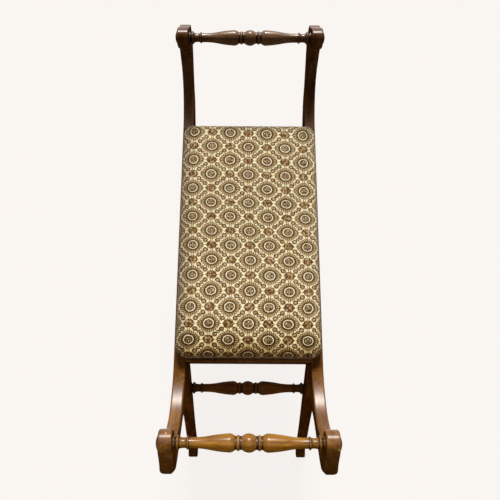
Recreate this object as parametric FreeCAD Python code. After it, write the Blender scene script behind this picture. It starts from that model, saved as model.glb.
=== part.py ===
"""Long period bench with scrolled ends, turned rails and a tacked upholstered seat.

Frame: X across the bench, Y along it (far end +Y), Z up. Origin on the floor under the middle.
Each end is described once, for the far right corner, and mirrored to the other corners.
"""
import FreeCAD, Part
import math
import os
from FreeCAD import Vector

# Overall sizes
WIDTH = 356.0
FRAME_THICK = 28.0
RAIL_TOP = 440.0
RAIL_DEPTH = 54.0
OUTER_X = WIDTH / 2
INNER_X = OUTER_X - FRAME_THICK
MID_X = OUTER_X - FRAME_THICK / 2

# Side frame: where rail and arm meet, where arm and leg part, rounding of its edges and of the scroll's tip
ARM_JOINT = 313.0
CROTCH = 354.0
EDGE_ROUND = 3.5
SCROLL_ROUND = 11.0

# Sabre leg
LEG_HEAD = 257.0
HEEL = 526.0
TOE = 563.0
TOE_HEIGHT = 12.0
TOE_LENGTH = 21.0

# End rails between the side frames
END_RAIL_FACE = 304.0
END_RAIL_THICK = 20.0
END_RAIL_DEPTH = 88.0
END_RAIL_BEAD = 4.5

# Turned rails: axis of the grips in the arm heads and of the stretchers in the legs
GRIP_Y = 470.0
GRIP_Z = RAIL_TOP + 167.0
STRETCHER_Y = 362.0
STRETCHER_Z = RAIL_TOP - 152.0
TENON_DIA = 14.0
TENON_LENGTH = 16.0
BALL_DIA = 36.0
VASE_DIA = 35.6
NECK_DIA = 21.0
BOSS_DIA = 32.0
BOSS_PROUD = 6.0
BOSS_BEAD = 2.4

# Upholstered seat: half sizes of its widest line, its height and its cover
SEAT_HALF_WIDTH = 175.0
SEAT_HALF_LENGTH = 302.0
SEAT_CROWN = 49.0
SEAT_SHOULDER = 40.0
SEAT_TUCK = 5.0
NOSE_LENGTH = 23.0
NOSE_NARROWING = 19.0
NOSE_DROP = 12.0
NOSE_FLATTENING = 4.5
NOSE_STEPS = 5
END_FALL = 3.5
COVER_THICK = 2.0
COVER_TURN_UNDER = 36.0
SEAT_FRAME_WIDTH = 42.0
SEAT_FRAME_THICK = 16.0
SEAT_FRAME_CORNER = 14.0
SEAT_FRAME_SETBACK = 4.0
STRAP_WIDTH = 45.0
STRAP_THICK = 1.5
STRAP_MARGIN = 12.0
LONG_STRAPS = 4
CROSS_STRAPS = 7
CLOTH_THICK = 1.0

# Fixings
DOWEL_DIA = 10.0
ARM_DOWEL_REACH = 22.0
LEG_DOWEL_REACH = 26.0
SCREW_DIA = 5.0
SCREW_HEAD_DIA = 9.0
BLOCK_LEG = 54.0
BLOCK_DEPTH = 40.0
BLOCK_NOSE = 12.0
SIDE_SCREW_LENGTH = 30.0
END_SCREW_LENGTH = 27.0
SEAT_SCREW_INSET = 21.0
SEAT_SCREW_BITE = 10.0
TACK_HEAD_DIA = 8.0
TACK_LENGTH = 11.0
TACK_PITCH = 40.0
TACK_INSET = 8.0

CORNERS = (("far_right", 1, 1), ("far_left", -1, 1), ("near_right", 1, -1), ("near_left", -1, -1))
X_PLANE = Vector(1, 0, 0)
Y_PLANE = Vector(0, 1, 0)
ORIGIN = Vector(0, 0, 0)


def to_corner(shape, side, end):
    """Mirror a far right shape to the corner with these signs."""
    if side < 0:
        shape = shape.mirror(ORIGIN, X_PLANE)
    if end < 0:
        shape = shape.mirror(ORIGIN, Y_PLANE)
    return shape


def side_point(y, drop, x=0.0):
    """Point on a side frame, with its height counted from the top of the seat rail."""
    return Vector(x, y, RAIL_TOP + drop)


def line(start, end):
    return Part.LineSegment(start, end).toShape()


def arc(start, middle, end):
    return Part.Arc(start, middle, end).toShape()


def curve(points, start_tangent=None, end_tangent=None):
    """Smooth curve through the points of an outline."""
    spline = Part.BSplineCurve()
    if start_tangent is None:
        spline.interpolate(points)
    else:
        spline.interpolate(Points=points, InitialTangent=start_tangent, FinalTangent=end_tangent)
    return spline.toShape()


def prism(edges, direction):
    """Solid between a flat closed outline and its copy along the direction."""
    wire = Part.Wire(Part.__sortEdges__(edges))
    return Part.Face(wire).extrude(direction)


def box(low, high):
    size = high - low
    return Part.makeBox(size.x, size.y, size.z, low)


def rod(diameter, start, end):
    axis = end - start
    return Part.makeCylinder(diameter / 2, axis.Length, start, axis)


def lies_flat(low, high, level):
    """True where an edge stays on one level of Y or Z."""
    return abs(low - level) < 0.01 and abs(high - level) < 0.01


def ease_edges(solid, joint_y=(), joint_z=()):
    """Round the long edges of a side frame piece, leaving its joint faces and its foot sharp."""
    edges = []
    for edge in solid.Edges:
        bounds = edge.BoundBox
        on_joint = any(lies_flat(bounds.YMin, bounds.YMax, y) for y in joint_y)
        on_joint = on_joint or any(lies_flat(bounds.ZMin, bounds.ZMax, z) for z in joint_z)
        if bounds.XLength < 0.01 and not on_joint:
            edges.append(edge)
    return solid.makeFillet(EDGE_ROUND, edges)


def arm_body():
    """Swept arm that rises from the seat rail and ends in a rounded scroll over the grip."""
    tip = side_point(533, 129)
    tip_run = Vector(0, 0.22, -1)
    rising = [side_point(ARM_JOINT, 0), side_point(363, 9), side_point(414, 34), side_point(445, 70),
              side_point(458, 107), side_point(462, 136), side_point(451, 151), side_point(444, 169),
              side_point(449, 186), side_point(463, 194), side_point(480, 189), side_point(497, 173),
              side_point(518, 151), tip]
    falling = [tip, side_point(529, 107), side_point(492, 62), side_point(430, 2), side_point(CROTCH, -RAIL_DEPTH)]
    edges = [curve(rising, Vector(0, 1, 0.02), tip_run),
             curve(falling, tip_run, Vector(0, -0.9, -0.44)),
             line(side_point(CROTCH, -RAIL_DEPTH), side_point(ARM_JOINT, -RAIL_DEPTH)),
             line(side_point(ARM_JOINT, -RAIL_DEPTH), side_point(ARM_JOINT, 0))]
    solid = prism(edges, Vector(FRAME_THICK, 0, 0))
    solid.translate(Vector(INNER_X, 0, 0))
    eased = ease_edges(solid, joint_y=(ARM_JOINT,), joint_z=(RAIL_TOP - RAIL_DEPTH,))
    return round_tip(eased)


def round_tip(arm):
    """Round the two corners of the scroll's tip, as seen from above."""
    bounds = arm.BoundBox
    plan = box(Vector(INNER_X, ARM_JOINT, bounds.ZMin), Vector(OUTER_X, bounds.YMax, bounds.ZMax))
    upright = [edge for edge in plan.Edges if edge.BoundBox.ZLength > bounds.ZLength / 2]
    corners = [edge for edge in upright if edge.BoundBox.YMin > ARM_JOINT + 1]
    return arm.common(plan.makeFillet(SCROLL_ROUND, corners))


def leg_body():
    """Sabre leg: broad where it meets the seat rail, thin and swept out to a flat toe."""
    front = [side_point(CROTCH, -RAIL_DEPTH), side_point(380, -136), side_point(424, -229),
             side_point(466, -303), side_point(509, -370), Vector(0, TOE - TOE_LENGTH, TOE_HEIGHT + 4)]
    back = [Vector(0, HEEL, 0), side_point(472, -345), side_point(400, -248), side_point(LEG_HEAD, -RAIL_DEPTH)]
    toe_top = Vector(0, TOE - TOE_LENGTH / 3, TOE_HEIGHT + 1)
    toe_tip = Vector(0, TOE, TOE_HEIGHT - 4)
    toe_foot = Vector(0, TOE - 5, 0)
    edges = [curve(front), curve(back),
             line(back[-1], front[0]),
             arc(front[-1], toe_top, toe_tip),
             line(toe_tip, toe_foot),
             line(toe_foot, back[0])]
    solid = prism(edges, Vector(FRAME_THICK, 0, 0))
    solid.translate(Vector(INNER_X, 0, 0))
    return ease_edges(solid, joint_z=(0, RAIL_TOP - RAIL_DEPTH))


def side_rail_body():
    """Straight seat rail of one side frame."""
    rail = box(Vector(INNER_X, -ARM_JOINT, RAIL_TOP - RAIL_DEPTH), Vector(OUTER_X, ARM_JOINT, RAIL_TOP))
    return ease_edges(rail, joint_y=(-ARM_JOINT, ARM_JOINT))


def end_rail_body():
    """Far end rail, with a small bead and quirk worked along the lower edge of its face."""
    back = END_RAIL_FACE - END_RAIL_THICK
    quirk = END_RAIL_FACE - END_RAIL_BEAD / 2
    bottom = -END_RAIL_DEPTH
    points = [side_point(back, bottom), side_point(END_RAIL_FACE - 0.8 * END_RAIL_BEAD, bottom),
              side_point(quirk, bottom + 1.9 * END_RAIL_BEAD), side_point(quirk, bottom + 2.3 * END_RAIL_BEAD),
              side_point(END_RAIL_FACE, bottom + 2.3 * END_RAIL_BEAD), side_point(END_RAIL_FACE, 0),
              side_point(back, 0)]
    edges = [line(points[i - 1], points[i]) for i in range(len(points)) if i != 2]
    edges.append(arc(points[1], side_point(END_RAIL_FACE, bottom + END_RAIL_BEAD), points[2]))
    solid = prism(edges, Vector(2 * INNER_X, 0, 0))
    solid.translate(Vector(-INNER_X, 0, 0))
    return solid


def turned_rail():
    """Baluster rail about the X axis: ball between rings, two long vases, ringed necks, tenons."""
    ball = BALL_DIA / 2
    vase = VASE_DIA / 2
    neck = NECK_DIA / 2
    tenon = TENON_DIA / 2
    collar = 13.4

    def at(x, radius):
        return Vector(x, 0, radius)

    edges = [arc(at(0, ball), at(8.4, ball - 1.8), at(12.8, 13.5)),
             arc(at(12.8, 13.5), at(16, 13), at(19.4, 14.2)),
             arc(at(19.4, 14.2), at(21.1, 15.5), at(22.8, 14.2)),
             arc(at(22.8, 14.2), at(26, 13.1), at(29, 14.5)),
             arc(at(29, 14.5), at(33.8, 17.1), at(41, vase)),
             arc(at(41, vase), at(63.5, 15.6), at(81, 12.8)),
             arc(at(81, 12.8), at(93, 11.2), at(118.6, neck)),
             arc(at(118.6, neck), at(120.7, 13), at(122.8, neck)),
             arc(at(122.8, neck), at(130, 9.9), at(138, 11.8)),
             arc(at(138, 11.8), at(141, 15), at(144, 11.8)),
             arc(at(144, 11.8), at(145.4, 11.1), at(146.8, 12)),
             arc(at(146.8, 12), at(148.4, 14), at(INNER_X, collar)),
             line(at(INNER_X, collar), at(INNER_X, tenon)),
             line(at(INNER_X, tenon), at(INNER_X + TENON_LENGTH, tenon)),
             line(at(INNER_X + TENON_LENGTH, tenon), at(INNER_X + TENON_LENGTH, 0)),
             line(at(INNER_X + TENON_LENGTH, 0), at(0, 0)),
             line(at(0, 0), at(0, ball))]
    half = Part.Face(Part.Wire(edges)).revolve(ORIGIN, X_PLANE, 360)
    return half.fuse(half.mirror(ORIGIN, X_PLANE)).removeSplitter()


def boss_body():
    """Domed turned boss on the outer face of an arm head, with a spigot in the grip's bore."""
    radius = BOSS_DIA / 2
    tenon = TENON_DIA / 2
    spigot = INNER_X + TENON_LENGTH
    tip = OUTER_X + BOSS_PROUD
    dome_rise = BOSS_PROUD - BOSS_BEAD
    dome_foot = radius - BOSS_BEAD
    dome_radius = (dome_foot ** 2 + dome_rise ** 2) / (2 * dome_rise)
    half_way = dome_foot / 2
    half_way_x = tip - dome_radius + (dome_radius ** 2 - half_way ** 2) ** 0.5

    def at(x, r):
        return Vector(x, 0, r)

    rim = at(OUTER_X + BOSS_BEAD, dome_foot)
    edges = [line(at(spigot, 0), at(spigot, tenon)),
             line(at(spigot, tenon), at(OUTER_X, tenon)),
             line(at(OUTER_X, tenon), at(OUTER_X, radius)),
             arc(at(OUTER_X, radius), at(OUTER_X + 0.7 * BOSS_BEAD, radius - 0.3 * BOSS_BEAD), rim),
             arc(rim, at(half_way_x, half_way), at(tip, 0)),
             line(at(tip, 0), at(spigot, 0))]
    boss = Part.Face(Part.Wire(edges)).revolve(ORIGIN, X_PLANE, 360)
    boss.translate(Vector(0, GRIP_Y, GRIP_Z))
    return boss


def corner_block_body():
    """Glue block in the angle of side rail and end rail, under the seat."""
    rail_inside = END_RAIL_FACE - END_RAIL_THICK
    corner = Vector(INNER_X, rail_inside, RAIL_TOP - BLOCK_DEPTH)
    points = [corner,
              corner - Vector(BLOCK_LEG, 0, 0),
              corner - Vector(BLOCK_LEG, BLOCK_NOSE, 0),
              corner - Vector(BLOCK_NOSE, BLOCK_LEG, 0),
              corner - Vector(0, BLOCK_LEG, 0)]
    edges = [line(points[i - 1], points[i]) for i in range(len(points))]
    return prism(edges, Vector(0, 0, BLOCK_DEPTH))


def dowels_between(ends):
    return [rod(DOWEL_DIA, start, end) for start, end in ends]


def arm_dowels():
    low, high = ARM_JOINT - ARM_DOWEL_REACH, ARM_JOINT + ARM_DOWEL_REACH
    return dowels_between([(side_point(low, z, MID_X), side_point(high, z, MID_X)) for z in (-16, -38)])


def leg_dowels():
    low, high = -RAIL_DEPTH - LEG_DOWEL_REACH, -RAIL_DEPTH + LEG_DOWEL_REACH
    return dowels_between([(side_point(y, low, MID_X), side_point(y, high, MID_X)) for y in (277, 341)])


def end_rail_dowels():
    y = END_RAIL_FACE - END_RAIL_THICK / 2
    low, high = INNER_X - 26, INNER_X + 19
    return dowels_between([(side_point(y, z, low), side_point(y, z, high)) for z in (-27, -69)])


def wood_screw(head_centre, direction, length):
    """Countersunk screw whose head's flat lies on the given point."""
    head_depth = (SCREW_HEAD_DIA - SCREW_DIA) / 2
    head = Part.makeCone(SCREW_HEAD_DIA / 2, SCREW_DIA / 2, head_depth, head_centre, direction)
    shank = Part.makeCylinder(SCREW_DIA / 2, length - head_depth, head_centre + direction * head_depth, direction)
    return head.fuse(shank).removeSplitter()


def block_screws():
    """Screws that hold one corner block to the side rail and to the end rail."""
    rail_inside = END_RAIL_FACE - END_RAIL_THICK
    middle = RAIL_TOP - BLOCK_DEPTH / 2
    to_side = wood_screw(Vector(INNER_X - BLOCK_NOSE, rail_inside - BLOCK_LEG + 1, middle), X_PLANE, SIDE_SCREW_LENGTH)
    to_end = wood_screw(Vector(INNER_X - BLOCK_LEG + 1, rail_inside - BLOCK_NOSE, middle), Y_PLANE, END_SCREW_LENGTH)
    return [to_side, to_end]


def seat_screw():
    """Screw up through a corner block into the seat frame."""
    y = END_RAIL_FACE - END_RAIL_THICK - SEAT_SCREW_INSET
    head = Vector(INNER_X - SEAT_SCREW_INSET, y, RAIL_TOP - BLOCK_DEPTH)
    return wood_screw(head, Vector(0, 0, 1), BLOCK_DEPTH + COVER_THICK + SEAT_SCREW_BITE)


def seat_section(y, half_width, base, shoulder, crown):
    """Cross-section of the seat: flat underside, drawn-in bulging sides and an arched top."""
    low_right = Vector(half_width - 0.7 * SEAT_TUCK, y, RAIL_TOP + base)
    mid_right = Vector(half_width, y, RAIL_TOP + base + (shoulder - base) * 0.5)
    top_right = Vector(half_width - 1.6 * SEAT_TUCK, y, RAIL_TOP + shoulder)
    low_left = Vector(-low_right.x, y, low_right.z)
    mid_left = Vector(-mid_right.x, y, mid_right.z)
    top_left = Vector(-top_right.x, y, top_right.z)
    return Part.Wire([line(low_left, low_right),
                      arc(low_right, mid_right, top_right),
                      arc(top_right, Vector(0, y, RAIL_TOP + crown), top_left),
                      arc(top_left, mid_left, low_left)])


def seat_form(inset):
    """Crowned seat with a rounded nose at both ends, set in evenly by the inset."""
    sections = [(0.0, SEAT_HALF_WIDTH, SEAT_SHOULDER, SEAT_CROWN)]
    for step in range(NOSE_STEPS + 1):
        angle = math.radians(90.0 * step / NOSE_STEPS)
        y = SEAT_HALF_LENGTH - NOSE_LENGTH * (1 - math.sin(angle))
        fall = 1 - math.cos(angle)
        half_width = SEAT_HALF_WIDTH - NOSE_NARROWING * fall
        shoulder = SEAT_SHOULDER - NOSE_DROP * fall
        crown = SEAT_CROWN - END_FALL - (NOSE_DROP + NOSE_FLATTENING) * fall
        sections.append((y, half_width, shoulder, crown))
        sections.append((-y, half_width, shoulder, crown))
    wires = []
    for y, half_width, shoulder, crown in sorted(sections):
        reach = y * (SEAT_HALF_LENGTH - inset) / SEAT_HALF_LENGTH
        wires.append(seat_section(reach, half_width - inset, inset, shoulder - inset, crown - inset))
    return Part.makeLoft(wires, True, True)


def rounded_plate(half_width, half_length, corner, low, high):
    plate = box(Vector(-half_width, -half_length, low), Vector(half_width, half_length, high))
    uprights = [edge for edge in plate.Edges if edge.BoundBox.ZLength > 0.5 * (high - low)]
    return plate.makeFillet(corner, uprights)


def seat_pieces():
    """Seat frame, webbing, hessian, stuffing, cover and bottom cloth, from the rails up."""
    frame_low = RAIL_TOP + COVER_THICK
    frame_high = frame_low + SEAT_FRAME_THICK
    half_width = SEAT_HALF_WIDTH - SEAT_TUCK - COVER_THICK
    half_length = SEAT_HALF_LENGTH - SEAT_TUCK - COVER_THICK - SEAT_FRAME_SETBACK
    inner_width = half_width - SEAT_FRAME_WIDTH
    inner_length = half_length - SEAT_FRAME_WIDTH
    ring = rounded_plate(half_width, half_length, SEAT_FRAME_CORNER, frame_low, frame_high)
    pieces = {}
    for name, side in (("right", 1), ("left", -1)):
        batten = box(Vector(inner_width, -half_length, frame_low), Vector(half_width, half_length, frame_high))
        pieces["seat_frame_" + name] = ring.common(to_corner(batten, side, 1))
    for name, end in (("far", 1), ("near", -1)):
        batten = box(Vector(-inner_width, inner_length, frame_low), Vector(inner_width, half_length, frame_high))
        pieces["seat_frame_" + name] = to_corner(batten, 1, end)

    long_low = frame_high
    cross_low = long_low + STRAP_THICK
    hessian_low = cross_low + STRAP_THICK
    stuffing_low = hessian_low + CLOTH_THICK
    strap_half_length = half_length - STRAP_MARGIN
    strap_half_width = half_width - STRAP_MARGIN
    long_straps = []
    for i in range(LONG_STRAPS):
        x = (i - (LONG_STRAPS - 1) / 2) * 2 * strap_half_width / LONG_STRAPS
        long_straps.append(box(Vector(x - STRAP_WIDTH / 2, -strap_half_length, long_low),
                               Vector(x + STRAP_WIDTH / 2, strap_half_length, cross_low)))
    cross_straps = []
    for i in range(CROSS_STRAPS):
        y = (i - (CROSS_STRAPS - 1) / 2) * 2 * strap_half_length / CROSS_STRAPS
        cross_straps.append(box(Vector(-strap_half_width, y - STRAP_WIDTH / 2, cross_low),
                                Vector(strap_half_width, y + STRAP_WIDTH / 2, hessian_low)))
    pieces["webbing_long"] = Part.makeCompound(long_straps)
    pieces["webbing_cross"] = Part.makeCompound(cross_straps)
    pieces["hessian"] = rounded_plate(half_width, half_length, SEAT_FRAME_CORNER, hessian_low, stuffing_low)

    outer = seat_form(0)
    inner = seat_form(COVER_THICK)
    core = rounded_plate(half_width, half_length, SEAT_FRAME_CORNER, RAIL_TOP - 1, stuffing_low)
    pieces["seat_stuffing"] = inner.cut(core)
    open_width = half_width - COVER_TURN_UNDER
    open_length = half_length - COVER_TURN_UNDER
    opening = box(Vector(-open_width, -open_length, RAIL_TOP - 1), Vector(open_width, open_length, frame_low))
    pieces["seat_cover"] = outer.cut(inner).cut(opening)
    pieces["bottom_cloth"] = box(Vector(-open_width, -open_length, frame_low - CLOTH_THICK),
                                 Vector(open_width, open_length, frame_low))
    pieces["cover_tacks"] = tack_rows(open_width + TACK_INSET, open_length + TACK_INSET)
    return pieces


def tack(place):
    """Upholstery tack driven up through the cover's turned edge into the seat frame."""
    head = Part.makeCylinder(TACK_HEAD_DIA / 2, 1, place - Vector(0, 0, 1))
    shank = Part.makeCone(1.2, 0.3, TACK_LENGTH, place)
    return head.fuse(shank).removeSplitter()


def tack_rows(half_width, half_length):
    """Tacks round the underside, with none over the corner blocks."""
    free_width = INNER_X - BLOCK_LEG
    free_length = END_RAIL_FACE - END_RAIL_THICK - BLOCK_LEG
    along = int(2 * free_length / TACK_PITCH)
    across = int(2 * free_width / TACK_PITCH)
    tacks = []
    for i in range(along):
        y = (i - (along - 1) / 2) * TACK_PITCH
        tacks += [tack(Vector(x, y, RAIL_TOP)) for x in (-half_width, half_width)]
    for i in range(across):
        x = (i - (across - 1) / 2) * TACK_PITCH
        tacks += [tack(Vector(x, y, RAIL_TOP)) for y in (-half_length, half_length)]
    return Part.makeCompound(tacks)


def all_corners(solids):
    """The same solids at all four corners of the bench."""
    return [to_corner(solid, side, end) for _, side, end in CORNERS for solid in solids]


def build():
    grip_bore = rod(TENON_DIA, Vector(INNER_X, GRIP_Y, GRIP_Z), Vector(OUTER_X, GRIP_Y, GRIP_Z))
    stretcher_bore = rod(TENON_DIA, Vector(INNER_X, STRETCHER_Y, STRETCHER_Z),
                         Vector(INNER_X + TENON_LENGTH, STRETCHER_Y, STRETCHER_Z))
    arm = arm_body().cut(grip_bore)
    leg = leg_body().cut(stretcher_bore)
    side_rail = side_rail_body()
    end_rail = end_rail_body()
    block = corner_block_body()
    rail = turned_rail()

    dowels = {"arm_dowels": arm_dowels(), "leg_dowels": leg_dowels(), "end_rail_dowels": end_rail_dowels()}
    holes = Part.makeCompound(all_corners([solid for group in dowels.values() for solid in group]))
    screws = Part.makeCompound(all_corners(block_screws()))
    seat_screws = Part.makeCompound(all_corners([seat_screw()]))

    nodes = {}
    for name, side, end in CORNERS:
        nodes["arm_" + name] = to_corner(arm, side, end).cut(holes)
        nodes["leg_" + name] = to_corner(leg, side, end).cut(holes)
        nodes["boss_" + name] = to_corner(boss_body(), side, end)
        nodes["corner_block_" + name] = to_corner(block, side, end).cut(screws).cut(seat_screws)
    for name, side in (("right", 1), ("left", -1)):
        nodes["side_rail_" + name] = to_corner(side_rail, side, 1).cut(holes).cut(screws)
    for name, end in (("far", 1), ("near", -1)):
        nodes["end_rail_" + name] = to_corner(end_rail, 1, end).cut(holes).cut(screws)
        nodes["grip_" + name] = rail.translated(Vector(0, end * GRIP_Y, GRIP_Z))
        nodes["stretcher_" + name] = rail.translated(Vector(0, end * STRETCHER_Y, STRETCHER_Z))
    for name, group in dowels.items():
        nodes[name] = Part.makeCompound(all_corners(group))
    nodes["corner_block_screws"] = screws
    nodes["seat_screws"] = seat_screws
    nodes.update(seat_pieces())
    tacks = nodes["cover_tacks"]
    for name in ("seat_cover", "seat_frame_left", "seat_frame_right", "seat_frame_near", "seat_frame_far"):
        nodes[name] = nodes[name].cut(tacks).cut(seat_screws)
    return nodes


os.makedirs("parts", exist_ok=True)
for node_name, node_shape in build().items():
    node_shape.exportStep("parts/" + node_name + ".step")
    print(node_name, node_shape.isValid(), len(node_shape.Solids), round(node_shape.Volume / 1000, 1), "cm3")
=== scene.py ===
"""Looks of the long scroll-ended bench: varnished wood, woven medallion seat, studio light."""
import math

import bmesh
import bpy
from mathutils import Euler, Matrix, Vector


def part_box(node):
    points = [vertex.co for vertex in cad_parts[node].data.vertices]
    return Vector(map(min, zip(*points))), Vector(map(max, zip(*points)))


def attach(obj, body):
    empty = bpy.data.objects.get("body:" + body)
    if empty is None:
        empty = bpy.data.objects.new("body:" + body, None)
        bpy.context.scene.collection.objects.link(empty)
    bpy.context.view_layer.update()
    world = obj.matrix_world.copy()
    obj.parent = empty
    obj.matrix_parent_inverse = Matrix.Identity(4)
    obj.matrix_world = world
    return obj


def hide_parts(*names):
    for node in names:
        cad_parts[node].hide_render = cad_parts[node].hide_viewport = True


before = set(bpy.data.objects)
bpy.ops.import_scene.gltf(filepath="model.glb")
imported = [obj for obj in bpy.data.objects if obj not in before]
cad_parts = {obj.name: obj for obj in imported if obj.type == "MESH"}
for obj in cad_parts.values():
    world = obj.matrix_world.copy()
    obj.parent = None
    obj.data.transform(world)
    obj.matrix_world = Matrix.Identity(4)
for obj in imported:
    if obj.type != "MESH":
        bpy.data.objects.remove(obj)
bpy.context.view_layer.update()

# Endings of the names of pieces that stand at the four corners
CORNERS = ("far_right", "far_left", "near_right", "near_left")

# Photo frame and camera, fitted to the bench's own symmetry
IMAGE_SIZE = 500.0
FOCAL_PX = 512.0
SENSOR_MM = 36.0
CAMERA_PLACE = Vector((-0.0117, -0.3758, 1.6840))
CAMERA_TILT = math.radians(15.6)
CAMERA_ROLL = math.radians(0.32)
CAMERA_SHIFT = (0.0118, 0.001)

# Seat cover: cells of its mesh, radii of its corners and edges, how it fits its place and how it swells
SEAT_CELLS = (64, 110, 9)
SEAT_SHRINK = (0.0005, 0.005)
SEAT_TAPER = 0.004
SEAT_CORNER = 0.026
SEAT_TOP_RADIUS = 0.014
SEAT_LOW_RADIUS = 0.007
SEAT_TUCK = 0.0035
SEAT_SHOULDER = 0.0392
SEAT_CROWN = 0.007
SEAT_ROLL = 0.040
SEAT_ROLL_DROP = {1: 0.002, -1: 0.009}
SEAT_FAR_REACH = 0.011
SEAT_RECESS = 0.003
SEAT_UNDERSIDE = 0.001
SEAT_LIFT = 0.0004
SIM_FRAMES = 20
SIM_PRESSURE = 3.0
SIM_CAP = 0.0022

# Medallion lattice of the seat fabric, and its threads
REPEAT_X = 0.09372
REPEAT_Y = 0.07594
PATTERN_SHIFT_X = -0.0456
PATTERN_SHIFT_Y = 0.0300
ROW_SHARE = 0.92
CLOTH_WOBBLE = 0.0034
WARP = 0.0011
WEFT = 0.0014

# Parts of the pattern, as shares of the repeat: buds' places and radii, stems, florets, petals and rings
BUDS = ((0.338, 0.152, 0.068), (0.165, 0.310, 0.068), (0.252, 0.231, 0.050))
STEM_PLACE = 0.026
STEM_REACH = (0.245, 0.345)
FLORET_RADIUS = 0.130
FLORET_LOBES = 8.0
FLORET_SQUEEZE = (0.9, 1.07)
PETALS = 24.0
PETAL_RADIUS = 0.262
PETAL_POINT = 0.034
DARK_RING = (0.139, 0.160)
PALE_RING = (0.110, 0.137)

# How the cloth was pulled askew when it was tacked on: set over, bowed, waved along the seat, rows tilted
PULL_SIDE = 0.0046
PULL_END = 0.0014
PULL_BOW = 0.0054
PULL_WAVE = 0.0029
PULL_WAVE_REACH = 0.78
PULL_TILT = 0.0042
PULL_FAR_TILT = 0.0032
PULL_LIMIT = (0.7, 0.75)

# Fabric colours
CREAM = (0.95, 0.87, 0.59)
PALE = (0.93, 0.86, 0.62)
TAN = (0.44, 0.29, 0.112)
OLIVE = (0.165, 0.090, 0.026)
BROWN = (0.100, 0.042, 0.011)
DARK = (0.034, 0.013, 0.003)
RUST = (0.36, 0.172, 0.048)

# Painted shade on the cloth: its browner sides, its deeper near end, its dark left edge and its warm near
# roll
SIDE_SHADE = (0.135, 0.060, 0.016)
NEAR_FADE = (-0.18, -0.29)
NEAR_DEPTH = 1.45
LEFT_FADE = (-0.138, -0.166)
LEFT_SHADE = (0.64, 0.61, 0.60)
ROLL_SHADE = (0.95, 0.83, 0.60)

# Wood colours, from the grain's dark lines to its pale ones, and where it is rubbed
FRAME_TONES = ((0.050, 0.016, 0.0035), (0.135, 0.050, 0.011), (0.265, 0.112, 0.027), (0.46, 0.26, 0.09))
# Painted light and shade: the near arms' tones are a lighter, lit copy of the frame's wood, the far arms' a
# darker, shaded copy
NEAR_LIT_TONES = ((0.062, 0.021, 0.0045), (0.165, 0.067, 0.014), (0.33, 0.155, 0.037), (0.54, 0.33, 0.12))
FAR_SHADED_TONES = ((0.041, 0.015, 0.006), (0.108, 0.043, 0.015), (0.20, 0.090, 0.030), (0.40, 0.22, 0.08))
TURNED_TONES = ((0.066, 0.018, 0.0025), (0.175, 0.057, 0.009), (0.30, 0.118, 0.024), (0.48, 0.27, 0.09))
LEG_TONES = ((0.050, 0.014, 0.002), (0.133, 0.043, 0.007), (0.26, 0.100, 0.019), (0.46, 0.26, 0.09))
# Painted light and shade: the far grip's tones are a greyer, shaded copy of the turned wood and the near
# grip's a lighter, lit copy
SHADED_GRIP_TONES = ((0.075, 0.032, 0.013), (0.205, 0.106, 0.052), (0.35, 0.205, 0.110), (0.52, 0.38, 0.24))
LIT_GRIP_TONES = ((0.084, 0.028, 0.002), (0.262, 0.110, 0.010), (0.47, 0.232, 0.032), (0.68, 0.44, 0.18))
# Dark of grime in chips, of grime with painted shade in grooves, and of painted shade in creases
GRIME_AND_SHADE = (0.012, 0.005, 0.002)

# Grain of the wood along X, and how far its rubbed edges and the painted shade in its creases reach
STREAKS = (9, 190, 190)
FIGURE = (2.2, 24, 24)
PORES = (38, 950, 950)
EDGE_REACH = 0.0045
CREASE_SHADE_REACH = 0.012

# Joints of the arms and legs with the rails, tips of the arms, and how far the near arms' painted shade
# reaches
ARM_JOINT = 0.313
ARM_TIP = 0.530
LEG_JOINT = 0.386
JOINT_SHADE = 0.08
TIP_SHADE = 0.035

# Grooves of the turned rails: distance from the middle and half width
GROOVES = ((0.0158, 0.0026), (0.0262, 0.0026), (0.0184, 0.0010), (0.1180, 0.0012), (0.1234, 0.0012),
           (0.1372, 0.0014), (0.1456, 0.0020))

# Distance from the middle at which the turned rails' necks are dark, and how far before it they darken
NECK = 0.124
NECK_FADE = 0.03

# Nicks of the near arms: place, size and whether bare wood shows
NICKS = (((-0.162, -0.4515, 0.6275), 0.0032, True), ((0.1745, -0.480, 0.629), 0.0034, True),
         ((-0.176, -0.385, 0.458), 0.0045, False))
NICK_PALE = (0.46, 0.28, 0.105)

# Paper background of the studio
PAPER = (0.947, 0.913, 0.888)
FLOOR_PAPER = (0.965, 0.928, 0.902)
FLOOR_BOUNCE = (0.30, 0.26, 0.22)
FLOOR_SEEN = (0.80, 0.78, 0.76)
FLOOR_GLOW = 0.92
FLOOR_SIZE = 30.0
FLOOR_DROP = 0.0003

# Lights of the studio: fill from all round, window light from the far end, lamp over the near end
FILL_STRENGTH = 0.15
SUN_STRENGTH = 4.16
SUN_HEIGHT = math.radians(40)
SUN_SIDE = math.radians(1)
SUN_ANGLE = math.radians(16)
LAMP_PLACE = Vector((0.03, -0.72, 1.30))
LAMP_AIM = Vector((0.0, -0.46, 0.5))
LAMP_POWER = 0.25
LAMP_SIZE = 0.4
LAMP_SPREAD = math.radians(70)


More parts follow.
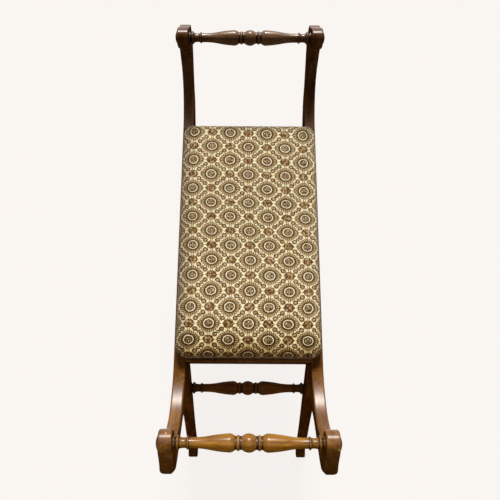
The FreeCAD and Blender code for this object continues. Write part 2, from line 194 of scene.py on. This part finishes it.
class Graph:
    """Shader nodes of a material or world, built from short calls that take numbers or sockets."""

    def __init__(self, owner, output="ShaderNodeOutputMaterial"):
        owner.use_nodes = True
        self.owner = owner
        self.tree = owner.node_tree
        self.tree.nodes.clear()
        self.output = self.tree.nodes.new(output)

    def put(self, socket, value):
        if isinstance(value, bpy.types.NodeSocket):
            self.tree.links.new(value, socket)
        elif isinstance(value, tuple) and len(value) == 3 and socket.type == "RGBA":
            socket.default_value = (*value, 1.0)
        else:
            socket.default_value = value

    def node(self, kind, inputs=None, **settings):
        made = self.tree.nodes.new(kind)
        for key, value in settings.items():
            setattr(made, key, value)
        for key, value in (inputs or {}).items():
            self.put(made.inputs[key], value)
        return made

    def math(self, operation, *values, clamp=False):
        made = self.node("ShaderNodeMath", operation=operation, use_clamp=clamp)
        for socket, value in zip(made.inputs, values):
            self.put(socket, value)
        return made.outputs[0]

    def add(self, a, b):
        return self.math("ADD", a, b)

    def sub(self, a, b):
        return self.math("SUBTRACT", a, b)

    def mul(self, a, b):
        return self.math("MULTIPLY", a, b)

    def smooth(self, value, low, high, out_low=0.0, out_high=1.0):
        made = self.node("ShaderNodeMapRange", interpolation_type="SMOOTHSTEP")
        for key, number in (("Value", value), ("From Min", low), ("From Max", high),
                            ("To Min", out_low), ("To Max", out_high)):
            self.put(made.inputs[key], number)
        return made.outputs["Result"]

    def mix(self, factor, a, b, blend="MIX"):
        made = self.node("ShaderNodeMix", data_type="RGBA", blend_type=blend)
        self.put(made.inputs["Factor"], factor)
        self.put(made.inputs["A"], a)
        self.put(made.inputs["B"], b)
        return made.outputs["Result"]

    def off(self, value, place):
        """Distance of a value from a place."""
        return self.math("ABSOLUTE", self.sub(value, place))

    def length(self, x, y):
        return self.math("SQRT", self.add(self.mul(x, x), self.mul(y, y)))

    def band(self, value, low, high, soft=0.006):
        """One between low and high, with soft edges."""
        begins = self.smooth(value, low - soft, low + soft)
        ends = self.smooth(value, high + soft, high - soft)
        return self.mul(begins, ends)

    def parts(self, vector):
        """X, Y and Z of a vector."""
        return self.node("ShaderNodeSeparateXYZ", {"Vector": vector}).outputs

    def weave(self, place, across, along):
        """Crossed threads of the given widths, minus one to one."""
        warp = self.math("SINE", self.mul(place["X"], 2 * math.pi / across))
        weft = self.math("SINE", self.mul(place["Y"], 2 * math.pi / along))
        return self.mul(warp, weft)

    def noise(self, vector, scale, detail=4.0, rough=0.55, distortion=0.0):
        made = self.node("ShaderNodeTexNoise", {"Vector": vector, "Scale": scale, "Detail": detail,
                                                "Roughness": rough, "Distortion": distortion})
        return made.outputs["Fac"]

    def place(self, vector, turn=(0, 0, 0), scale=(1, 1, 1), shift=(0, 0, 0)):
        made = self.node("ShaderNodeMapping", {"Vector": vector, "Rotation": Euler(turn),
                                               "Scale": scale, "Location": shift})
        return made.outputs["Vector"]

    def bump(self, height, strength, distance, normal=None):
        made = self.node("ShaderNodeBump", {"Height": height, "Strength": strength, "Distance": distance})
        if normal is not None:
            self.put(made.inputs["Normal"], normal)
        return made.outputs["Normal"]

    def surface(self, **inputs):
        """Finish the material with a principled surface; names use underscores for spaces."""
        made = self.node("ShaderNodeBsdfPrincipled")
        for key, value in inputs.items():
            self.put(made.inputs[key.replace("_", " ")], value)
        return self.close(made)

    def blend(self, factor, first, second):
        """Mix two shaders."""
        made = self.node("ShaderNodeMixShader", {"Fac": factor})
        self.put(made.inputs[1], first.outputs[0])
        self.put(made.inputs[2], second.outputs[0])
        return made

    def close(self, shader):
        """Send the finished shader to the output."""
        self.put(self.output.inputs["Surface"], shader.outputs[0])
        return self.owner


def new_graph(name):
    """Empty shader nodes of a new material."""
    return Graph(bpy.data.materials.new(name))


def wood_grain(g, where, turn, tones):
    """Colour of the grain, with the streaks, pores and clouds that the rest of the surface follows."""
    dark, middle, pale, _ = tones
    along = g.place(where, turn=turn)
    streaks = g.noise(g.place(along, scale=STREAKS), 1.0, 6.0, 0.62, 0.25)
    figure = g.noise(g.place(along, scale=FIGURE), 1.0, 3.0, 0.5, 0.8)
    pores = g.noise(g.place(along, scale=PORES), 1.0, 2.0, 0.6)
    cloud = g.noise(where, 9.0, 4.0, 0.6)
    ramp = g.node("ShaderNodeValToRGB", {"Fac": g.add(g.mul(streaks, 0.5), g.mul(figure, 0.5))})
    stops = ramp.color_ramp.elements
    stops[0].position = 0.34
    stops[0].color = (*dark, 1)
    stops[1].position = 0.68
    stops[1].color = (*pale, 1)
    stops.new(0.5).color = (*middle, 1)
    pore_mask = g.smooth(pores, 0.60, 0.72)
    colour = g.mix(g.mul(pore_mask, 0.55), ramp.outputs["Color"], dark)
    colour = g.mix(g.smooth(cloud, 0.48, 0.78, 0.0, 0.55), colour, dark)
    return colour, streaks, pore_mask, cloud


def rubbed_edges(g, where, normal, colour, rubbed):
    """Paler wood where hands have rubbed the edges, but not beside the joints."""
    bevel = g.node("ShaderNodeBevel", {"Radius": EDGE_REACH}, samples=6)
    facing = g.node("ShaderNodeVectorMath", operation="DOT_PRODUCT")
    g.put(facing.inputs[0], bevel.outputs["Normal"])
    g.put(facing.inputs[1], normal)
    edge = g.smooth(facing.outputs["Value"], 0.995, 0.92)
    rub = g.smooth(g.noise(where, 46.0, 5.0, 0.65), 0.44, 0.64)
    spot = g.parts(where)
    off_arm_joint = g.off(g.math("ABSOLUTE", spot["Y"]), ARM_JOINT)
    off_leg_joint = g.off(spot["Z"], LEG_JOINT)
    off_joint = g.smooth(g.math("MINIMUM", off_arm_joint, off_leg_joint), 0.004, 0.009)
    return g.mix(g.mul(g.mul(edge, g.mul(rub, off_joint)), 0.7), colour, rubbed)


def dark_grooves(g, where, colour, dark, grooves):
    """Darker necks of a turned rail, and grime with painted shade in its grooves."""
    middle_off = g.math("ABSOLUTE", g.parts(where)["X"])
    colour = g.mix(g.smooth(middle_off, NECK - NECK_FADE, NECK, 0.0, 0.5), colour, dark)
    for place, half_width in grooves:
        reach = g.off(middle_off, place)
        colour = g.mix(g.smooth(reach, half_width, 0.35 * half_width, 0.0, 0.9), colour, GRIME_AND_SHADE)
    return colour


def nicked(g, where, colour, nicks):
    """Ragged chips, down to bare wood or filled with grime."""
    roughened = g.noise(where, 190.0, 3.0, 0.6)
    for point, size, bare in nicks:
        reach = g.node("ShaderNodeVectorMath", operation="DISTANCE")
        g.put(reach.inputs[0], where)
        g.put(reach.inputs[1], point)
        ragged = g.add(reach.outputs["Value"], g.mul(g.sub(roughened, 0.5), 1.4 * size))
        colour = g.mix(g.smooth(ragged, size, 0.5 * size), colour, NICK_PALE if bare else GRIME_AND_SHADE)
    return colour


def worn_wood(name, turn, tones, gloss, nicks=(), grooves=(), shade=0.0):
    """Old varnished hardwood whose grain runs along X before the given turn."""
    dark, rubbed = tones[0], tones[-1]
    g = new_graph(name)
    where = g.node("ShaderNodeTexCoord").outputs["Object"]
    normal = g.node("ShaderNodeNewGeometry").outputs["Normal"]
    colour, streaks, pore_mask, cloud = wood_grain(g, where, turn, tones)
    colour = rubbed_edges(g, where, normal, colour, rubbed)
    if grooves:
        colour = dark_grooves(g, where, colour, dark, grooves)
    # Painted shade: darker in creases and hollows, where ambient occlusion finds them
    crease_shade = g.node("ShaderNodeAmbientOcclusion", {"Distance": CREASE_SHADE_REACH}, samples=8)
    colour = g.mix(g.mul(g.smooth(crease_shade.outputs["AO"], 0.78, 0.34), 0.88), colour, GRIME_AND_SHADE)
    dents = g.node("ShaderNodeTexVoronoi", {"Vector": where, "Scale": 85.0, "Randomness": 1.0})
    dent = g.mul(g.smooth(dents.outputs["Distance"], 0.16, 0.05), g.smooth(cloud, 0.56, 0.62))
    colour = g.mix(g.mul(dent, 0.5), colour, rubbed)
    colour = nicked(g, where, colour, nicks)
    height = g.sub(g.add(g.mul(streaks, 0.35), g.mul(cloud, 0.5)), g.add(g.mul(pore_mask, 0.5), dent))
    roughness = g.smooth(g.add(g.mul(cloud, 0.6), g.mul(streaks, 0.4)), 0.3, 0.7, 0.30, 0.48)
    facing = g.parts(normal)
    polish = g.smooth(g.math("ABSOLUTE", facing["X"]), 0.9, 0.5, 0.0, gloss)
    polish = g.mul(polish, g.smooth(facing["Y"], -0.4, 0.1))
    # Painted shade: the near arms darken towards their joint under the seat and towards their lower tips
    if shade:
        out = g.math("ABSOLUTE", g.parts(where)["Y"])
        clear = g.smooth(out, ARM_JOINT, ARM_JOINT + JOINT_SHADE)
        colour = g.mix(g.mul(g.sub(1.0, clear), shade), colour, dark)
        colour = g.mix(g.smooth(out, ARM_TIP - TIP_SHADE, ARM_TIP, 0.0, 2 * shade), colour, dark)
        polish = g.mul(polish, clear)
    return g.surface(Base_Color=colour, Roughness=roughness, Normal=g.bump(height, 0.35, 0.0007),
                     Specular_IOR_Level=0.0, Coat_Weight=polish, Coat_Roughness=0.29)


class Lattice:
    """Places in the medallion lattice and noises of the cloth, shared by the parts of the pattern.

    Lengths are shares of the repeat. u and v are measured from one medallion, u_other and v_other from the
    one set between its rows, and near_u, near_v, radius and angle from the nearer of the two.
    """

    def __init__(self, g, cloth):
        wobble = g.node("ShaderNodeTexNoise", {"Vector": cloth, "Scale": 260.0, "Detail": 2.0})
        shake = g.node("ShaderNodeVectorMath", operation="MULTIPLY_ADD")
        g.put(shake.inputs[0], wobble.outputs["Color"])
        g.put(shake.inputs[1], (CLOTH_WOBBLE, CLOTH_WOBBLE, 0.0))
        g.put(shake.inputs[2], cloth)
        self.thread = g.parts(shake.outputs["Vector"])
        self.u = self.folded(g, self.thread["X"], PATTERN_SHIFT_X, REPEAT_X)
        self.v = g.mul(self.folded(g, self.thread["Y"], PATTERN_SHIFT_Y, REPEAT_Y), ROW_SHARE)
        self.u_other = g.sub(0.5, self.u)
        self.v_other = g.sub(0.5 * ROW_SHARE, self.v)
        first = g.length(self.u, self.v)
        second = g.length(self.u_other, self.v_other)
        nearer = g.math("LESS_THAN", first, second)
        self.radius = g.math("MINIMUM", first, second)
        self.near_u, self.near_v = (
            g.add(g.mul(nearer, a), g.mul(g.sub(1.0, nearer), b))
            for a, b in ((self.u, self.u_other), (self.v, self.v_other)))
        self.angle = g.math("ARCTAN2", self.near_v, self.near_u)
        self.grain = g.noise(cloth, 400.0, 2.0, 0.7)
        self.speck = g.smooth(self.grain, 0.46, 0.56)
        self.blotch = g.smooth(g.noise(cloth, 190.0, 2.0, 0.7), 0.47, 0.55)
        self.flame = g.noise(cloth, 150.0, 1.0, 0.6)

    @staticmethod
    def folded(g, value, shift, repeat):
        """Distance from the nearest lattice line, 0 to a half; 100 repeats keep the count positive."""
        return g.math("PINGPONG", g.add(g.mul(g.add(value, shift), 1 / repeat), 100.0), 0.5)


def buds(g, net, colour):
    """Chains of round buds between the medallions."""
    for x, y, size in BUDS:
        reach = g.add(g.length(g.sub(net.u, x), g.sub(net.v, y)), g.mul(g.sub(net.grain, 0.5), 0.05))
        rim = g.mix(net.blotch, DARK, BROWN)
        body = g.mix(net.blotch, g.mix(0.35, TAN, CREAM), RUST)
        body = g.mix(g.smooth(reach, 0.46 * size, 0.68 * size), body, rim)
        colour = g.mix(g.smooth(reach, size + 0.006, size - 0.006), colour, body)
    return colour


def stems(g, net, colour):
    """Two thin stems above and below each medallion."""
    stem = g.smooth(g.off(net.near_u, STEM_PLACE), 0.014, 0.006)
    stalk = g.mul(stem, g.band(net.radius, *STEM_REACH, 0.010))
    return g.mix(g.mul(stalk, 0.9), colour, g.mix(net.speck, OLIVE, BROWN))


def florets(g, net, colour):
    """Mottled, lobed florets in the gaps of the lattice, wider than they are tall."""
    wide, tall = FLORET_SQUEEZE
    radius = g.math("MINIMUM", g.length(g.mul(net.u_other, wide), g.mul(net.v, tall)),
                    g.length(g.mul(net.u, wide), g.mul(net.v_other, tall)))
    angle = g.math("ARCTAN2", net.near_v, g.sub(0.5, net.near_u))
    lobes = g.math("COSINE", g.mul(angle, FLORET_LOBES))
    edge = g.add(g.add(FLORET_RADIUS, g.mul(lobes, 0.011)), g.mul(g.sub(net.grain, 0.5), 0.06))
    mottle = g.mix(net.speck, RUST, TAN)
    mottle = g.mix(g.smooth(net.flame, 0.46, 0.38, 0.0, 0.4), mottle, CREAM)
    mottle = g.mix(g.smooth(net.flame, 0.49, 0.56, 0.0, 0.75), mottle, g.mix(net.speck, DARK, BROWN))
    mottle = g.mix(g.mul(g.band(radius, 0.080, 0.125), g.smooth(lobes, 0.5, -0.5, 0.2, 0.95)), mottle, DARK)
    mottle = g.mix(g.mul(g.band(radius, 0.028, 0.052), g.mul(net.speck, 0.8)), mottle, DARK)
    return g.mix(g.smooth(g.sub(radius, edge), 0.008, -0.004), colour, mottle)


def petals(g, net, colour):
    """Fringe of narrow petals round each medallion, drawn out to points at its sides."""
    ticks = g.math("COSINE", g.add(g.mul(net.angle, PETALS), g.mul(g.sub(net.grain, 0.5), 3.0)))
    point = g.smooth(net.angle, 0.55, 0.0, 0.0, PETAL_POINT)
    edge = g.add(g.add(PETAL_RADIUS, point), g.mul(ticks, 0.018))
    petal = g.mix(g.smooth(net.radius, 0.160, 0.195), BROWN, g.mix(0.3, TAN, OLIVE))
    petal = g.mix(g.smooth(ticks, 0.1, -0.6, 0.0, 0.85), petal, g.mix(net.blotch, OLIVE, BROWN))
    pale = g.mul(g.band(net.radius, 0.200, 0.245), g.mul(g.smooth(ticks, 0.0, 0.8), 0.50))
    petal = g.mix(pale, petal, CREAM)
    tips = g.mul(g.smooth(net.radius, 0.236, 0.258), g.smooth(ticks, 0.5, -0.3, 0.0, 0.92))
    petal = g.mix(tips, petal, DARK)
    return g.mix(g.smooth(g.sub(net.radius, edge), 0.006, -0.004), colour, petal)


def rings(g, net, colour):
    """Dark ring of each medallion and the pale one inside it."""
    colour = g.mix(g.mul(g.band(net.radius, *DARK_RING), faded(g, net)), colour, DARK)
    return g.mix(g.band(net.radius, *PALE_RING, 0.005), colour, g.mix(g.mul(net.speck, 0.1), PALE, TAN))


def hearts(g, net, colour):
    """Rosette in the middle of each medallion."""
    heart = g.mix(net.speck, OLIVE, TAN)
    heart = g.mix(g.mul(net.blotch, 0.7), heart, BROWN)
    heart = g.mix(g.smooth(net.radius, 0.034, 0.018, 0.0, 0.6), heart, TAN)
    heart = g.mix(g.mul(g.band(net.radius, 0.085, 0.106), faded(g, net)), heart, DARK)
    rosette = g.math("COSINE", g.add(g.mul(net.angle, 6.0), g.mul(net.flame, 14.0)))
    dark = g.mul(g.band(net.radius, 0.034, 0.074), g.smooth(rosette, 0.0, 0.5))
    heart = g.mix(dark, heart, g.mix(0.4, DARK, BROWN))
    pale = g.mul(g.band(net.radius, 0.030, 0.080), g.smooth(rosette, -0.5, -0.9, 0.0, 0.6))
    heart = g.mix(pale, heart, CREAM)
    return g.mix(g.smooth(net.radius, 0.108, 0.103), colour, heart)


def faded(g, net):
    """Strength of the dark rings, uneven as in the weave."""
    return g.smooth(net.grain, 0.36, 0.55, 0.95, 0.65)


def painted_cloth_shade(g, cloth, colour):
    """Painted shade on the cloth: browner sides, deeper near end, dark left edge and warm near roll."""
    facing = g.parts(g.node("ShaderNodeNewGeometry").outputs["Normal"])
    # Painted shade: browner where the cloth faces neither up nor towards the window light
    lit_facing = g.add(facing["Z"], g.math("MAXIMUM", facing["Y"], 0.0))
    colour = g.mix(g.smooth(lit_facing, 0.9, 0.2, 0.0, 0.55), colour, SIDE_SHADE)
    spot = g.parts(cloth)
    # Painted shade: deeper, darker colour towards the near end
    deeper = g.smooth(spot["Y"], *NEAR_FADE, 1.0, NEAR_DEPTH)
    colour = g.node("ShaderNodeGamma", {"Color": colour, "Gamma": deeper}).outputs["Color"]
    # Painted shade: darker along the left edge
    colour = g.mix(g.smooth(spot["X"], *LEFT_FADE), colour, LEFT_SHADE, "MULTIPLY")
    # Painted shade and warm bounce light on the near roll, which faces away from the window light
    return g.mix(g.smooth(facing["Y"], -0.1, -0.45), colour, ROLL_SHADE, "MULTIPLY")


def medallion_fabric():
    """Woven tapestry: medallions on a centred lattice, florets between them, chains of buds."""
    g = new_graph("seat_fabric")
    cloth = g.node("ShaderNodeAttribute", attribute_name="cloth_place").outputs["Vector"]
    net = Lattice(g, cloth)
    colour = g.mix(g.mul(net.speck, 0.13), CREAM, TAN)
    for part in (buds, stems, florets, petals, rings, hearts):
        colour = part(g, net, colour)
    rib = g.weave(net.thread, WARP, WEFT)
    colour = g.mix(g.smooth(rib, -0.2, -0.9, 0.0, 0.22), colour, DARK)
    # Painted shade on the sides and ends of the cloth
    colour = painted_cloth_shade(g, cloth, colour)
    height = g.add(g.mul(rib, 0.5), g.mul(net.grain, 0.8))
    return g.surface(Base_Color=colour, Roughness=0.86, Normal=g.bump(height, 0.35, 0.0006),
                     Specular_IOR_Level=0.2, Sheen_Weight=0.08, Sheen_Roughness=0.5)


def plain_cloth(name, colour, thread):
    """Coarse plain weave for the hidden layers and the bottom cloth."""
    g = new_graph(name)
    where = g.node("ShaderNodeTexCoord").outputs["Object"]
    weave = g.weave(g.parts(where), thread, thread)
    patches = g.noise(where, 30.0, 4.0)
    shade = g.mix(g.smooth(weave, -0.6, 0.6), tuple(0.55 * c for c in colour), colour)
    shade = g.mix(g.mul(patches, 0.4), shade, tuple(0.7 * c for c in colour))
    return g.surface(Base_Color=shade, Roughness=0.92, Normal=g.bump(weave, 0.4, thread * 0.3))


def raw_wood(name):
    """Planed pale wood of the hidden blocks and battens."""
    g = new_graph(name)
    where = g.node("ShaderNodeTexCoord").outputs["Object"]
    streaks = g.noise(g.place(where, scale=(160, 9, 160)), 1.0, 5.0, 0.6, 0.3)
    colour = g.mix(g.smooth(streaks, 0.35, 0.65), (0.23, 0.135, 0.066), (0.40, 0.26, 0.135))
    colour = g.mix(g.smooth(g.noise(where, 14.0, 4.0), 0.45, 0.8, 0.0, 0.5), colour, (0.16, 0.09, 0.045))
    return g.surface(Base_Color=colour, Roughness=0.72, Normal=g.bump(streaks, 0.25, 0.0006))


def old_metal(name, colour, roughness):
    """Dull steel of screws and tacks, with a little rust."""
    g = new_graph(name)
    where = g.node("ShaderNodeTexCoord").outputs["Object"]
    spots = g.noise(where, 420.0, 4.0, 0.65)
    shade = g.mix(g.smooth(spots, 0.52, 0.68), colour, (0.12, 0.055, 0.025))
    rough = g.smooth(spots, 0.4, 0.7, roughness, roughness + 0.3)
    return g.surface(Base_Color=shade, Roughness=rough, Metallic=0.85, Normal=g.bump(spots, 0.2, 0.0002))


def dress(names, material):
    """Give these pieces one material."""
    for name in names:
        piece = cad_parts[name]
        piece.data.materials.clear()
        piece.data.materials.append(material)


def softened(out, rise):
    """Turn the square corner of two shares, 0 inside to 1 at the edge, into a round one."""
    if out <= 0 or rise <= 0:
        return out, rise
    keep = max(out, rise) / math.hypot(out, rise)
    return out * keep, rise * keep


def rounded_place(point, half, low, high):
    """Move a point of a plain box onto the seat's form: round corners, round top edge, drawn-in foot."""
    core = [min(max(point[i], SEAT_CORNER - half[i]), half[i] - SEAT_CORNER) for i in range(2)]
    beyond = Vector((point.x - core[0], point.y - core[1]))
    reach = max(abs(beyond.x), abs(beyond.y))
    direction = beyond.normalized()
    z = point.z
    middle = (low + high) / 2
    radius = SEAT_TOP_RADIUS if z > middle else SEAT_LOW_RADIUS
    level = high - radius if z > middle else low + radius
    past_level = (z - level) * (z - middle) > 0
    rise = abs(z - level) / radius if past_level else 0.0
    out, rise = softened((reach - SEAT_CORNER + radius) / radius, rise)
    if out > 0:
        reach = SEAT_CORNER - radius + out * radius
    if rise > 0:
        z = level + math.copysign(rise * radius, z - level)
    drawn_in = max(0.0, 1 - 2 * (z - low) / (high - low))
    if reach > 0:
        reach -= SEAT_TUCK * drawn_in ** 2 * reach / SEAT_CORNER
    return Vector((core[0] + direction.x * reach, core[1] + direction.y * reach, z)), direction


def grid_box(counts, low, high):
    """Closed box of quads with the given number of cells each way."""
    made = bmesh.new()
    found = {}

    def corner(key):
        if key not in found:
            share = [key[i] / counts[i] for i in range(3)]
            found[key] = made.verts.new([low[i] + (high[i] - low[i]) * share[i] for i in range(3)])
        return found[key]

    for axis in range(3):
        first, second = [i for i in range(3) if i != axis]
        for end in (0, counts[axis]):
            for a in range(counts[first]):
                for b in range(counts[second]):
                    ring = []
                    for step_a, step_b in ((0, 0), (1, 0), (1, 1), (0, 1)):
                        key = [0, 0, 0]
                        key[axis] = end
                        key[first] = a + step_a
                        key[second] = b + step_b
                        ring.append(corner(tuple(key)))
                    made.faces.new(ring)
    bmesh.ops.recalc_face_normals(made, faces=made.faces)
    return made


def pulled(x, y, half):
    """Place on the loose cloth of a point on the tacked one."""
    u, v = (min(max(place / size, -limit), limit) for place, size, limit in zip((x, y), half, PULL_LIMIT))
    wave = PULL_WAVE * math.sin(math.pi * v / PULL_WAVE_REACH)
    across = PULL_SIDE - PULL_BOW * v ** 2 - wave
    along = PULL_END - wave - (PULL_TILT + PULL_FAR_TILT * v) * u
    return x - across, y - along, 0.0


def seat_mesh():
    """Rounded, crowned seat and, for each point, its place on the flat cloth."""
    low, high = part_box("seat_cover")
    low = low + Vector((*SEAT_SHRINK, SEAT_LIFT))
    high = high - Vector((*SEAT_SHRINK, 0.0))
    high.z = low.z + SEAT_SHOULDER
    half = ((high.x - low.x) / 2, (high.y - low.y) / 2)
    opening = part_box("bottom_cloth")[1]
    box = grid_box(SEAT_CELLS, low, high)
    places = []
    for vert in box.verts:
        start = vert.co.copy()
        vert.co, direction = rounded_place(start, half, low.z, high.z)
        vert.co.x *= 1 + SEAT_TAPER * vert.co.y / half[1]
        drop = direction * (high.z - start.z)
        places.append(pulled(start.x + drop.x, start.y + drop.y, half))
        underside = start.z < low.z + SEAT_UNDERSIDE
        if underside and abs(start.x) < opening.x and abs(start.y) < opening.y:
            vert.co.z += SEAT_RECESS
        rise = (1 - (vert.co.x / half[0]) ** 2) * (1 - (vert.co.y / half[1]) ** 6)
        share = max(0.0, 2 * (start.z - low.z) / SEAT_SHOULDER - 1)
        rolled = max(0.0, abs(vert.co.y) - half[1] + SEAT_ROLL) / SEAT_ROLL
        end = 1 if vert.co.y > 0 else -1
        vert.co.z += (SEAT_CROWN * rise - SEAT_ROLL_DROP[end] * rolled ** 2) * share
        vert.co.y += SEAT_FAR_REACH * (end > 0) * rolled
    mesh = bpy.data.meshes.new("seat_cushion")
    box.to_mesh(mesh)
    box.free()
    attribute = mesh.attributes.new("cloth_place", "FLOAT_VECTOR", "POINT")
    for item, place in zip(attribute.data, places):
        item.vector = place
    return mesh, low.z


def puff(piece, floor):
    """Let the cover swell and settle under a little pressure, held where it is tacked below."""
    before = [vert.co.copy() for vert in piece.data.vertices]
    held = piece.vertex_groups.new(name="tacked")
    held.add([v.index for v in piece.data.vertices if v.co.z < floor + SEAT_LOW_RADIUS], 1.0, "REPLACE")
    cloth = piece.modifiers.new("puff", "CLOTH")
    cloth.settings.vertex_group_mass = "tacked"
    cloth.settings.use_pressure = True
    cloth.settings.uniform_pressure_force = SIM_PRESSURE
    cloth.settings.effector_weights.gravity = 0.0
    cloth.settings.mass = 0.3
    cloth.settings.tension_stiffness = 25.0
    cloth.settings.compression_stiffness = 25.0
    cloth.settings.bending_stiffness = 6.0
    cloth.settings.quality = 6
    cloth.point_cache.frame_end = SIM_FRAMES
    scene = bpy.context.scene
    for step in range(1, SIM_FRAMES + 1):
        scene.frame_set(step)
    moved = piece.evaluated_get(bpy.context.evaluated_depsgraph_get()).to_mesh()
    after = [vert.co.copy() for vert in moved.vertices]
    piece.modifiers.remove(cloth)
    scene.frame_set(1)
    for vert, old, new in zip(piece.data.vertices, before, after):
        shift = new - old
        if shift.length > SIM_CAP:
            shift *= SIM_CAP / shift.length
        vert.co = old + shift


def build_seat():
    """Padded seat in place of the plain cover and stuffing."""
    mesh, floor = seat_mesh()
    piece = bpy.data.objects.new("seat_cushion", mesh)
    bpy.context.collection.objects.link(piece)
    puff(piece, floor)
    for face in mesh.polygons:
        face.use_smooth = True
    smooth = piece.modifiers.new("smooth", "SUBSURF")
    smooth.levels = 1
    smooth.render_levels = 1
    mesh.materials.append(medallion_fabric())
    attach(piece, "root")
    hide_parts("seat_cover", "seat_stuffing")


def finish_wood():
    """Wood of each kind of piece, with the grain along the board that it was cut from."""
    turned = worn_wood("turned_wood", (0, 0, 0), TURNED_TONES, 0.1, grooves=GROOVES)
    dress(["stretcher_far", "stretcher_near"], turned)
    # Painted light and shade: a greyer, shaded copy of the turned wood for the far grip, a lighter, lit
    # copy for the near grip
    dress(["grip_far"], worn_wood("shaded_grip_wood", (0, 0, 0), SHADED_GRIP_TONES, 0.9, grooves=GROOVES))
    dress(["grip_near"], worn_wood("lit_grip_wood", (0, 0, 0), LIT_GRIP_TONES, 0.75, grooves=GROOVES))
    dress(["boss_" + c for c in CORNERS], worn_wood("boss_wood", (0, 0, 0), FRAME_TONES, 0.0))
    dress(["end_rail_far", "end_rail_near"], worn_wood("end_rail_wood", (0, 0, 0), FRAME_TONES, 0.0))
    side_turn = math.radians(-90)
    rail = worn_wood("rail_wood", (0, 0, side_turn), FRAME_TONES, 0.04)
    dress(["side_rail_left", "side_rail_right"], rail)
    # Painted light and shade: lit tones and painted shade for the near arms, shaded tones for the far ones
    for end, sign in (("far", 1), ("near", -1)):
        lean = math.radians(45) * sign
        near = end == "near"
        arm = worn_wood("arm_wood_" + end, (-lean, 0, side_turn), NEAR_LIT_TONES if near else FAR_SHADED_TONES,
                        1.0 if near else 0.9, NICKS if near else (), shade=0.3 if near else 0.0)
        leg = worn_wood("leg_wood_" + end, (lean, 0, side_turn), LEG_TONES, 0.0)
        dress([f"arm_{end}_right", f"arm_{end}_left"], arm)
        dress([f"leg_{end}_right", f"leg_{end}_left"], leg)


def finish_hidden():
    """Raw wood, cloth and steel of the pieces inside and below."""
    pale = raw_wood("inner_wood")
    dress(["corner_block_" + c for c in CORNERS], pale)
    dress(["seat_frame_" + c for c in ("left", "right", "far", "near")], pale)
    dress(["arm_dowels", "leg_dowels", "end_rail_dowels"], pale)
    dress(["webbing_long", "webbing_cross"], plain_cloth("webbing", (0.36, 0.29, 0.19), 0.003))
    dress(["hessian"], plain_cloth("hessian", (0.38, 0.28, 0.15), 0.0022))
    dress(["bottom_cloth"], plain_cloth("bottom_cloth", (0.03, 0.027, 0.024), 0.0012))
    dress(["seat_stuffing"], plain_cloth("stuffing", (0.5, 0.44, 0.34), 0.004))
    dress(["seat_cover"], plain_cloth("cover_back", (0.4, 0.3, 0.18), 0.0014))
    dress(["corner_block_screws", "seat_screws"], old_metal("screw_steel", (0.34, 0.33, 0.31), 0.38))
    dress(["cover_tacks"], old_metal("tack_steel", (0.05, 0.055, 0.07), 0.42))


def seen_directly(g):
    """One on rays from the camera, in reflections and through glass, and none on other light."""
    path = g.node("ShaderNodeLightPath").outputs
    mirrored = g.math("MAXIMUM", path["Is Glossy Ray"], path["Is Transmission Ray"])
    return g.math("MAXIMUM", path["Is Camera Ray"], mirrored)


def pale_surroundings():
    """World that fills the shade softly and looks like pale paper."""
    world = bpy.data.worlds.new("studio")
    bpy.context.scene.world = world
    g = Graph(world, "ShaderNodeOutputWorld")
    fill = g.node("ShaderNodeBackground", {"Color": (1.0, 0.97, 0.93), "Strength": FILL_STRENGTH})
    paper = g.node("ShaderNodeBackground", {"Color": PAPER, "Strength": 1.0})
    g.close(g.blend(seen_directly(g), fill, paper))


def pale_floor():
    """Floor that takes the bench's shadow and looks like the same paper."""
    bpy.ops.mesh.primitive_plane_add(size=FLOOR_SIZE, location=(0.0, 0.0, -FLOOR_DROP))
    floor = bpy.context.object
    floor.name = "floor"
    g = new_graph("floor")
    seen = seen_directly(g)
    lit = g.node("ShaderNodeBsdfDiffuse", {"Color": g.mix(seen, FLOOR_BOUNCE, FLOOR_SEEN)})
    glow = g.node("ShaderNodeEmission", {"Color": FLOOR_PAPER, "Strength": 1.0})
    floor.data.materials.append(g.close(g.blend(g.mul(seen, FLOOR_GLOW), lit, glow)))


def window_light():
    """Broad soft light from above the far end."""
    data = bpy.data.lights.new("window", "SUN")
    data.energy = SUN_STRENGTH
    data.angle = SUN_ANGLE
    data.color = (1.0, 0.97, 0.92)
    made = bpy.data.objects.new("window", data)
    flat = math.cos(SUN_HEIGHT)
    towards = Vector((flat * math.sin(SUN_SIDE), flat * math.cos(SUN_SIDE), math.sin(SUN_HEIGHT)))
    made.rotation_euler = (-towards).to_track_quat("-Z", "Y").to_euler()
    bpy.context.collection.objects.link(made)


def near_lamp():
    """Weak warm light above the near end, out of the picture."""
    data = bpy.data.lights.new("near_lamp", "AREA")
    data.energy = LAMP_POWER
    data.size = LAMP_SIZE
    data.spread = LAMP_SPREAD
    data.color = (1.0, 0.90, 0.76)
    made = bpy.data.objects.new("near_lamp", data)
    made.location = LAMP_PLACE
    made.rotation_euler = (LAMP_AIM - LAMP_PLACE).to_track_quat("-Z", "Y").to_euler()
    made.visible_camera = False
    bpy.context.collection.objects.link(made)


def studio():
    """Pale paper all round, window light and a lamp."""
    bpy.context.scene.view_settings.view_transform = "Standard"
    pale_surroundings()
    pale_floor()
    window_light()
    near_lamp()


def camera():
    """Camera at the photo's place."""
    data = bpy.data.cameras.new("camera")
    data.sensor_width = SENSOR_MM
    data.sensor_fit = "HORIZONTAL"
    data.lens = SENSOR_MM * FOCAL_PX / IMAGE_SIZE
    made = bpy.data.objects.new("camera", data)
    made.location = CAMERA_PLACE
    data.shift_x, data.shift_y = CAMERA_SHIFT
    turn = Euler((CAMERA_TILT, 0.0, 0.0)).to_matrix() @ Euler((0.0, 0.0, CAMERA_ROLL)).to_matrix()
    made.rotation_euler = turn.to_euler()
    bpy.context.collection.objects.link(made)
    bpy.context.scene.camera = made


finish_wood()
finish_hidden()
build_seat()
studio()
camera()
